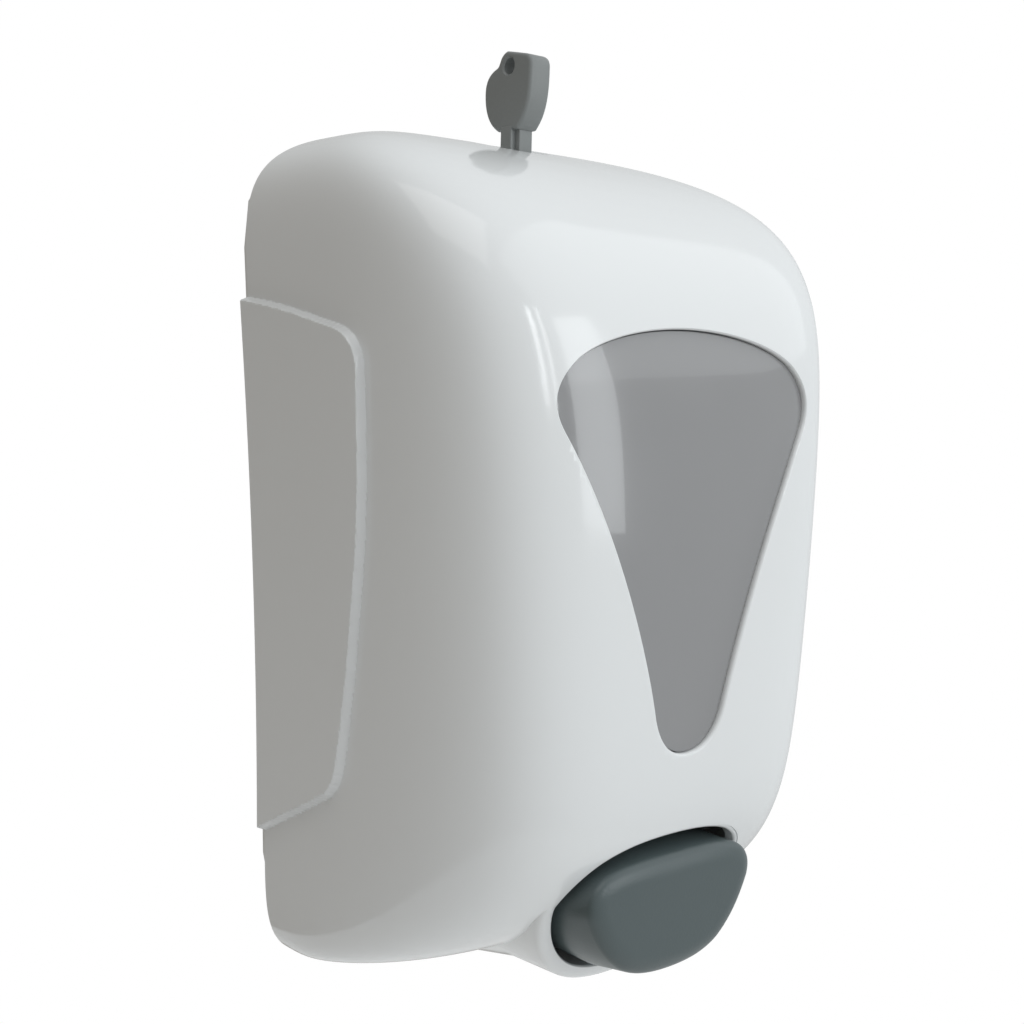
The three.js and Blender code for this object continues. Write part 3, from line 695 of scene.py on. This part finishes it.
def key_boss():
    """The tube that guides the plunger, with the tab that the latch holds."""
    top = crown_at(KEY["y"]) - 1
    tube = soft_rod("boss", "Z", KEY["hole"] + BOSS["wall"], BOSS["bottom"], top, (0, KEY["y"]))
    tab = block("tab", -BOSS["half"], BOSS["half"], *BOSS["tab"], 0.3)
    return common(join(tube, tab), body("limit", 1, 4))


def cut_hinge(whole):
    """Slots for the plate's lugs and holes for the pins."""
    for side in (-1, 1):
        ends = sorted((side * (LUG["inner"] - LUG["play"]), side * (LUG["outer"] + LUG["play"])))
        cut(whole, block("slot", *ends, -10, 2, -120, -104))
        ends = sorted((side * 20, side * 60))
        cut(whole, rod("hole", "X", HINGE["hole"], *ends, (HINGE["y"], HINGE["z"]), 24))


def lip_y(x, z):
    """The front surface around the button: the body's or the collar's, whichever is further out."""
    return min(front_y(x, z), collar_y(z))


def cover():
    shell = cut(cover_skin(), body("hollow", WALL, OPEN_BACK))
    pod = cut(collar(), body("hollow", WALL, OPEN_BACK))
    whole = join(shell, pod, key_boss(), *knuckles())
    cut_hinge(whole)
    cut(
        whole,
        flared_cutter("window", window_outline(), front_y, PANE["edge"], -60),
        flared_cutter("opening", button_opening(), lip_y, COLLAR["edge"], -40),
        rod("outlet", "Z", OUTLET["hole"], -FAR, -96, (0, OUTLET["y"])),
        key_scoop(),
        rod("key_hole", "Z", KEY["hole"], 90, FAR, (0, KEY["y"])),
    )
    return finish_piece(whole, "cover_shell", "white_gloss", "cover", ["front_cover"], 28)


def window_pane():
    """A sheet behind the opening, whose raised middle stands in it."""
    flange = common(
        body("flange", WALL + GAP, 4),
        prism("limit", "Y", grown(window_outline(), PANE["flange"]), -60, -FAR),
    )
    middle = common(
        body("middle", PANE["recess"], 4),
        prism("limit", "Y", grown(window_outline(), -GAP), -60, -FAR),
    )
    pane = cut(join(flange, middle), body("behind", WALL + GAP + PANE["thick"], OPEN_BACK))
    return finish_piece(pane, "pane", "smoked_clear", "cover", ["window_pane"])


# ---------------------------------------------------------------- button
def button_layers(inset, back, front, edge, steps=12):
    across, deep = edge
    base = grown(button_opening(), -BUTTON["play"] - inset)
    layers = [(base, back), (base, BUTTON["shoulder"])]
    reach = BUTTON["front"] - BUTTON["shoulder"]
    for turn in np.linspace(0, math.pi / 2, steps):
        at = front + deep * (1 - math.sin(turn))
        share = min((at - BUTTON["shoulder"]) / reach, 1)
        face = grown(button_face(), -inset - across * (1 - math.cos(turn)))
        layers.append((face * share + base * (1 - share), at))
    return layers


def button():
    """A hollow cap with a post, held by ribs, that pushes the piston."""
    back, front, wall = BUTTON["back"], BUTTON["front"], BUTTON["wall"]
    shell = stack("outer", "Y", button_layers(0, back, front, BUTTON_EDGE))
    hollow = button_layers(wall, back + 8, front + wall, BUTTON_INNER_EDGE)
    cut(shell, stack("inner", "Y", hollow))
    at = (0, PUMP["z"])
    post = soft_rod("post", "Y", POST["radius"], BUTTON["push"], front + 1, at)
    cut(post, rod("bore", "Y", POST["bore"], BUTTON["push"] + 2, front + 1.6, at))
    low, high = PUMP["z"] - POST["rib_half"], PUMP["z"] + POST["rib_half"]
    ribs = []
    for side in (-1, 1):
        ends = sorted(side * x for x in POST["rib"])
        ribs.append(block("rib", *ends, front + 1, BUTTON["shoulder"], low, high))
    join(shell, post, *ribs)
    return finish_piece(shell, "button_cap", "slate_grey", "button", ["push_button"])


# ---------------------------------------------------------------- key, plunger and latch
def cross(name, size, arm, z0, z1, edge=0.25):
    h, a, y = size / 2, arm / 2, KEY["y"]
    return join(
        block(name, -h, h, y - a, y + a, z0, z1, edge),
        block(name, -a, a, y - h, y + h, z0, z1, edge),
    )


def key():
    half = KEY["thick"] / 2
    ends = rounded_ends(-half, half, 1.1, 6)
    layers = [(grown(key_outline(), -inset), place) for place, inset in ends]
    bow = moved(stack("bow", "X", layers), (0, KEY["y"], KEY["foot"]))
    eye, flare = KEY_EYE["radius"], KEY_EYE["flare"]
    eye_at = (KEY["y"] - KEY_EYE["forward"], KEY["foot"] + KEY_EYE["up"])
    cut(bow, rod("eye", "X", eye, -10, 10, eye_at))
    for side in (-1, 1):  # the eye's edge is eased on both faces
        rings = [(circle(eye), side * (half - flare / 2)), (circle(eye + flare), side * (half + flare / 2))]
        cut(bow, moved(stack("flare", "X", rings), (0, *eye_at)))
    join(bow, cross("stem", STEM["size"], STEM["arm"], KEY["shoulder"], KEY["foot"] + 1))
    join(bow, cross("bit", BIT["size"], BIT["arm"], KEY["tip"], KEY["shoulder"] + 1))
    return finish_piece(bow, "key_shape", "key_grey", "key_body", ["key"], 30)


def plunger():
    at = (0, KEY["y"])
    bottom = PLUNGER["bottom"]
    made = join(
        soft_rod("stem", "Z", PLUNGER["radius"], bottom, KEY["shoulder"] - 0.4, at),
        soft_rod("ring", "Z", KEY["hole"] + 1, bottom, PLUNGER["ring_top"], at),
    )
    cut(made, cross("socket", PLUNGER["socket"], PLUNGER["arm"], KEY["tip"] - GAP, 120, 0.1))
    return finish_piece(made, "plunger_shape", "white_matte", "plunger", ["lock_plunger"])


# ---------------------------------------------------------------- springs
def coil(name, radius, wire, turns, length, axis, start):
    """A coil spring of round wire, from start along an axis."""
    sides, per_turn, slim = 10, 36, 0.97
    steps = int(turns * per_turn)
    round_wire = np.arange(sides) * 2 * math.pi / sides
    reach = radius + wire / 2 * slim * np.cos(round_wire)
    lift = wire / 2 * slim * np.sin(round_wire)
    rings = []
    for i in range(steps + 1):
        angle = 2 * math.pi * turns * i / steps
        rise = wire / 2 + (length - wire) * i / steps
        rings.append(np.stack([reach * math.cos(angle), reach * math.sin(angle), rise + lift], 1))
    made = skin(name, rings)
    if axis == "Y":
        made.data.transform(Matrix.Rotation(math.radians(90), 4, "X"))
    return moved(made, start)


def springs():
    radius, wire, turns, length, y, z = LATCH_COIL.values()
    latch = coil("latch_coil", radius, wire, turns, length, "Z", (0, y, z))
    finish_piece(latch, "latch_coil", "steel", "plate", ["latch_spring"], 60)
    start = PUMP["back"] - 2.5 - GAP
    pump = coil("pump_coil", *PUMP_COIL.values(), start - PISTON["back"] - GAP, "Y", (0, start, PUMP["z"]))
    finish_piece(pump, "pump_coil", "steel", "reservoir", ["pump_spring"], 60)


# ---------------------------------------------------------------- tank
def tank_form(name, inset):
    return body(name, inset, 4, 90, 90)


def tank():
    wall, back, bottom = TANK["wall"], TANK["back"], TANK["bottom"]
    outside = block("rim", -FAR, FAR, -FAR, back, bottom, TANK["top"])
    room = block("room", -FAR, FAR, -FAR, back - wall, bottom + wall, TANK["top"] + 20)
    shell = common(tank_form("tank", TANK["inset"]), outside)
    shell = cut(shell, common(tank_form("space", TANK["inset"] + wall), room))
    at = (0, NECK["y"])
    join(shell, soft_rod("neck", "Z", NECK["radius"], NECK["bottom"], bottom + 1, at, 0.3))
    cut(shell, rod("neck_bore", "Z", NECK["bore"], NECK["bottom"] - 2, bottom + 4, at))
    return finish_piece(shell, "tank_shell", "milky", "reservoir", ["tank"])


# ---------------------------------------------------------------- pump
NECK_AT = (0, NECK["y"])
PUMP_AT = (0, PUMP["z"])
OUTLET_AT = (0, OUTLET["y"])


def pump_barrel():
    """A level barrel, with a column up to the tank's neck and an outlet down."""
    barrel = soft_rod("barrel", "Y", PUMP["radius"], PUMP["back"], PUMP["front"], PUMP_AT)
    join(
        barrel,
        soft_rod("column", "Z", COLUMN["radius"], PUMP["z"], COLUMN["top"], NECK_AT),
        soft_rod("flange", "Z", FLANGE["radius"], FLANGE["bottom"], FLANGE["top"], NECK_AT, 0.3),
        soft_rod("outlet", "Z", OUTLET["radius"], OUTLET["bottom"], PUMP["z"], OUTLET_AT),
    )
    cut(
        barrel,
        rod("bore", "Y", PUMP["bore"], PUMP["back"] - 2.5, PUMP["front"] - 2, PUMP_AT),
        rod("bore", "Z", COLUMN["socket"], COLUMN["socket_foot"], COLUMN["top"] + 3, NECK_AT),
        rod("bore", "Z", COLUMN["bore"], PUMP["z"], COLUMN["bore_top"], NECK_AT),
        rod("bore", "Z", OUTLET["bore"], OUTLET["bottom"] - 2.6, PUMP["z"], OUTLET_AT),
    )
    finish_piece(barrel, "pump_barrel", "pump_white", "reservoir", ["pump_body"])


def pump_cap():
    front = PUMP["front"]
    cap = soft_rod("cap", "Y", CAP["radius"], front + CAP["skirt"], front - CAP["thick"], PUMP_AT, 0.6)
    cut(
        cap,
        rod("bore", "Y", PUMP["radius"] + GAP, front + 10, front - GAP, PUMP_AT),
        rod("bore", "Y", CAP["hole"], front, front - 6, PUMP_AT),
    )
    finish_piece(cap, "pump_cap_shape", "pump_white", "reservoir", ["pump_cap"])


def ring_piece(name, axis, outer, inner, start, end, at, edge):
    made = soft_rod(name, axis, outer, start, end, at, edge)
    return cut(made, rod("bore", axis, inner, min(start, end) - 1, max(start, end) + 1, at))


def piston():
    """A head with a groove for its seal, a stem, and a pad that the button's post pushes."""
    back, front, seal, push = PISTON["back"], PISTON["front"], PISTON["seal"], PISTON["push"]
    head = soft_rod("head", "Y", PISTON_RADIUS["head"], back, front, PUMP_AT, 0.3)
    groove = rod("groove", "Y", 9, seal + SEAL["groove"], seal - SEAL["groove"], PUMP_AT)
    cut(groove, rod("core", "Y", PISTON_RADIUS["core"], seal + 3, seal - 3, PUMP_AT))
    cut(head, groove)
    join(
        head,
        soft_rod("stem", "Y", PISTON_RADIUS["stem"], front + 1, push + 1, PUMP_AT, 0.2),
        soft_rod("pad", "Y", PISTON_RADIUS["pad"], push + PISTON["pad"], push, PUMP_AT, 0.5),
        soft_rod("spigot", "Y", PISTON_RADIUS["spigot"], back + 4, back - 1, PUMP_AT),
    )
    finish_piece(head, "piston_shape", "pump_white", "piston_body", ["piston"])
    ends = seal + SEAL["half"], seal - SEAL["half"]
    ring = ring_piece("ring", "Y", SEAL["outer"], SEAL["inner"], *ends, PUMP_AT, 0.4)
    finish_piece(ring, "piston_ring", "rubber", "piston_body", ["piston_seal"])


def pump_nut():
    """A fluted nut on the tank's neck, and the gasket that it squeezes."""
    flutes = NUT["flutes"]
    angle = (np.arange(flutes * 8) + 0.5) * 2 * math.pi / (flutes * 8)
    ridge = np.clip(1.8 * np.cos(flutes * angle), -1, 1)
    reach = NUT["radius"] - NUT["flute"] * (1 - ridge)
    grip = np.stack([reach * np.cos(angle), reach * np.sin(angle)], 1)
    bevel, bottom, top = NUT["bevel"], NUT["bottom"], NUT["top"]
    small = grown(grip, -bevel)
    layers = [(small, bottom), (grip, bottom + bevel), (grip, top - bevel), (small, top)]
    nut = moved(stack("nut", "Z", layers), (0, NECK["y"], 0))
    cut(
        nut,
        rod("bore", "Z", NUT_BORE["wide"], NUT_BORE["floor"], -50, NECK_AT),
        rod("bore", "Z", NUT_BORE["narrow"], -70, -60, NECK_AT),
    )
    finish_piece(nut, "neck_nut", "pump_white", "reservoir", ["pump_nut"])
    gasket = ring_piece("ring", "Z", *GASKET.values(), NECK_AT, 0.2)
    finish_piece(gasket, "gasket", "rubber", "reservoir", ["neck_gasket"])


def inlet():
    """A cage with ports, and the mushroom flap that closes them."""
    bottom, top = CAGE["bottom"], CAGE["top"]
    cage = soft_rod("cage", "Z", CAGE["radius"], bottom, top, NECK_AT, 0.25)
    cut(cage, rod("hub", "Z", CAGE["hub"], bottom - 1.4, top + 1.6, NECK_AT, 24))
    for n in range(CAGE["ports"]):
        a = n * 2 * math.pi / CAGE["ports"]
        port = (CAGE["ring"] * math.cos(a), NECK["y"] + CAGE["ring"] * math.sin(a))
        cut(cage, rod("port", "Z", CAGE["port"], bottom - 1.4, top + 1.6, port, 24))
    finish_piece(cage, "cage_shape", "pump_white", "reservoir", ["inlet_cage"])
    middle = (FLAP["bottom"] + FLAP["top"]) / 2
    flap = join(
        soft_rod("flap", "Z", FLAP["radius"], FLAP["bottom"], FLAP["top"], NECK_AT, 0.25),
        soft_rod("flap_stem", "Z", FLAP["stem"], middle, FLAP["stem_top"], NECK_AT, 0.4, 24),
    )
    finish_piece(flap, "flap_shape", "silicone", "reservoir", ["inlet_valve"])


def outlet():
    """A slit silicone valve, and the nut that holds it on the outlet."""
    half, wide, top = SLIT_MOUTH["half"], SLIT_MOUTH["open"], SLIT_MOUTH["top"]
    slit = join(
        soft_rod("slit", "Z", SLIT["radius"], SLIT["foot"], SLIT["top"], OUTLET_AT, 0.2),
        soft_rod("tip", "Z", SLIT["tip"], SLIT["tip_foot"], SLIT["foot"] + 0.5, OUTLET_AT, 0.8),
    )
    cut(
        slit,
        block("mouth", -half, half, OUTLET["y"] - wide, OUTLET["y"] + wide, -110, top),
        rod("bore", "Z", SLIT["bore"], top - 0.4, -102, OUTLET_AT, 24),
    )
    finish_piece(slit, "slit_valve", "silicone", "reservoir", ["outlet_valve"])
    bottom, floor = OUTLET_NUT["bottom"], OUTLET_NUT["floor"]
    nut = soft_rod("nut", "Z", OUTLET_NUT["radius"], bottom, OUTLET_NUT["top"], OUTLET_AT, 0.5)
    cut(
        nut,
        rod("bore", "Z", OUTLET_NUT["bore"], floor, -98, OUTLET_AT),
        rod("bore", "Z", OUTLET_NUT["hole"], bottom - 1.6, floor + 1, OUTLET_AT),
    )
    finish_piece(nut, "outlet_ring", "pump_white", "reservoir", ["outlet_nut"])


def pins():
    for side, node in ((-1, "hinge_pin_left"), (1, "hinge_pin_right")):
        inner = side * (LUG["inner"] - LUG["play"] - HINGE["reach"])
        outer = side * (LUG["outer"] + LUG["play"] + HINGE["reach"])
        pin = soft_rod("pin", "X", HINGE["pin"], *sorted((inner, outer)), (HINGE["y"], HINGE["z"]), 0.25)
        finish_piece(pin, node + "_shape", "steel", "cover", [node])


# ---------------------------------------------------------------- stage, light and camera
def stage():
    bpy.ops.mesh.primitive_circle_add(
        vertices=96, radius=0.5, fill_type="NGON", location=(0, -0.05, -0.42)
    )
    floor = bpy.context.object
    floor.name = "floor"
    material, tree, principled = shader("floor", (0.93, 0.93, 0.925), 0.9)
    soft = noise(tree, 2, 2)
    tree.links.new(tint(tree, soft, (0.93, 0.93, 0.925), 0.01), principled.inputs["Base Color"])
    floor.data.materials.append(material)


def area_light(name, place, target, size, power, color=(1, 1, 1), shape="RECTANGLE"):
    data = bpy.data.lights.new(name, "AREA")
    data.shape = shape
    data.size, data.size_y = size
    data.energy = power
    data.color = color
    lamp = bpy.data.objects.new(name, data)
    bpy.context.scene.collection.objects.link(lamp)
    lamp.location = place
    toward = Vector(target) - Vector(place)
    lamp.rotation_euler = toward.to_track_quat("-Z", "Y").to_euler()
    return lamp


def studio_world():
    """Even white behind everything, and softer light from the viewer's left than from the front."""
    world = bpy.data.worlds.new("studio")
    bpy.context.scene.world = world
    world.use_nodes = True
    tree = world.node_tree
    tree.nodes.clear()
    add = tree.nodes.new
    place = add("ShaderNodeTexCoord")
    toward = add("ShaderNodeVectorMath")
    toward.operation = "DOT_PRODUCT"
    toward.inputs[1].default_value = WORLD["toward"]
    span = add("ShaderNodeMapRange")
    span.inputs["From Min"].default_value = -1
    span.inputs["From Max"].default_value = 1
    ramp = add("ShaderNodeValToRGB")
    ramp.color_ramp.interpolation = "EASE"
    dim, bright = ramp.color_ramp.elements
    dim.position, bright.position = WORLD["edges"]
    dim.color = (*WORLD["dim"], 1)
    bright.color = (*WORLD["bright"], 1)
    soft = add("ShaderNodeBackground")
    soft.inputs["Strength"].default_value = WORLD["strength"]
    white = add("ShaderNodeBackground")
    white.inputs["Color"].default_value = (1, 1, 1, 1)
    seen = add("ShaderNodeLightPath")
    mix = add("ShaderNodeMixShader")
    out = add("ShaderNodeOutputWorld")
    link = tree.links.new
    link(place.outputs["Generated"], toward.inputs[0])
    link(toward.outputs["Value"], span.inputs["Value"])
    link(span.outputs["Result"], ramp.inputs["Fac"])
    link(ramp.outputs["Color"], soft.inputs["Color"])
    link(seen.outputs["Is Camera Ray"], mix.inputs[0])
    link(soft.outputs["Background"], mix.inputs[1])
    link(white.outputs["Background"], mix.inputs[2])
    link(mix.outputs["Shader"], out.inputs["Surface"])


WORLD = {
    "toward": (0.62, -0.55, 0.56),
    "edges": (0.08, 0.8),
    "dim": (0.215, 0.192, 0.163),
    "bright": (0.685, 0.705, 0.715),
    "strength": 1.0,
}


def from_middle(azimuth, elevation, distance):
    """A place round the object: azimuth from straight in front towards its right side."""
    a, e = math.radians(azimuth), math.radians(elevation)
    flat = distance * math.cos(e)
    return (flat * math.sin(a), -flat * math.cos(a), distance * math.sin(e))


def lights():
    studio_world()
    middle = (0, -0.05, 0)
    cool = (0.94, 0.98, 1.0)
    area_light("front_light", from_middle(50, 36, 2.3), middle, (2.4, 2.0), 8, cool)
    area_light("top_light", from_middle(-40, 70, 1.8), middle, (1.4, 1.4), 5, (1.0, 0.99, 0.97))
    area_light("room_window", from_middle(33, 12, 1.7), middle, (0.42, 0.95), 2.8, cool)
    # two tall panes of a window, whose reflections stand on the body's front left corner
    for azimuth, wide, power in ((9, 0.09, 1.1), (16, 0.05, 0.5)):
        area_light("window", from_middle(azimuth, 19, 1.5), middle, (wide, 0.62), power, cool)


def camera():
    """The photograph's view: from the object's left, a little above, with a slight roll."""
    azimuth, elevation, roll = 40.67, 5.50, 1.345
    place = (-0.26612, -0.33581, 0.04957)
    data = bpy.data.cameras.new("camera")
    data.lens = 51.02
    data.sensor_width = 36.0
    data.clip_end = 60
    data.dof.use_dof = False
    made = bpy.data.objects.new("camera", data)
    bpy.context.scene.collection.objects.link(made)
    turn = Matrix.Rotation(math.radians(-azimuth), 4, "Z")
    tilt = Matrix.Rotation(math.radians(90 - elevation), 4, "X")
    lean = Matrix.Rotation(math.radians(roll), 4, "Z")
    made.matrix_world = Matrix.Translation(place) @ turn @ tilt @ lean
    bpy.context.scene.camera = made


cover()
window_pane()
button()
key()
plunger()
springs()
tank()
pump_barrel()
pump_cap()
piston()
pump_nut()
inlet()
outlet()
pins()
kept_node("wall_plate", "white_matte")
kept_node("latch_bolt", "white_matte")
kept_node("tank_lid", "white_matte")
stage()
lights()
camera()
bpy.context.scene.view_settings.view_transform = "Standard"
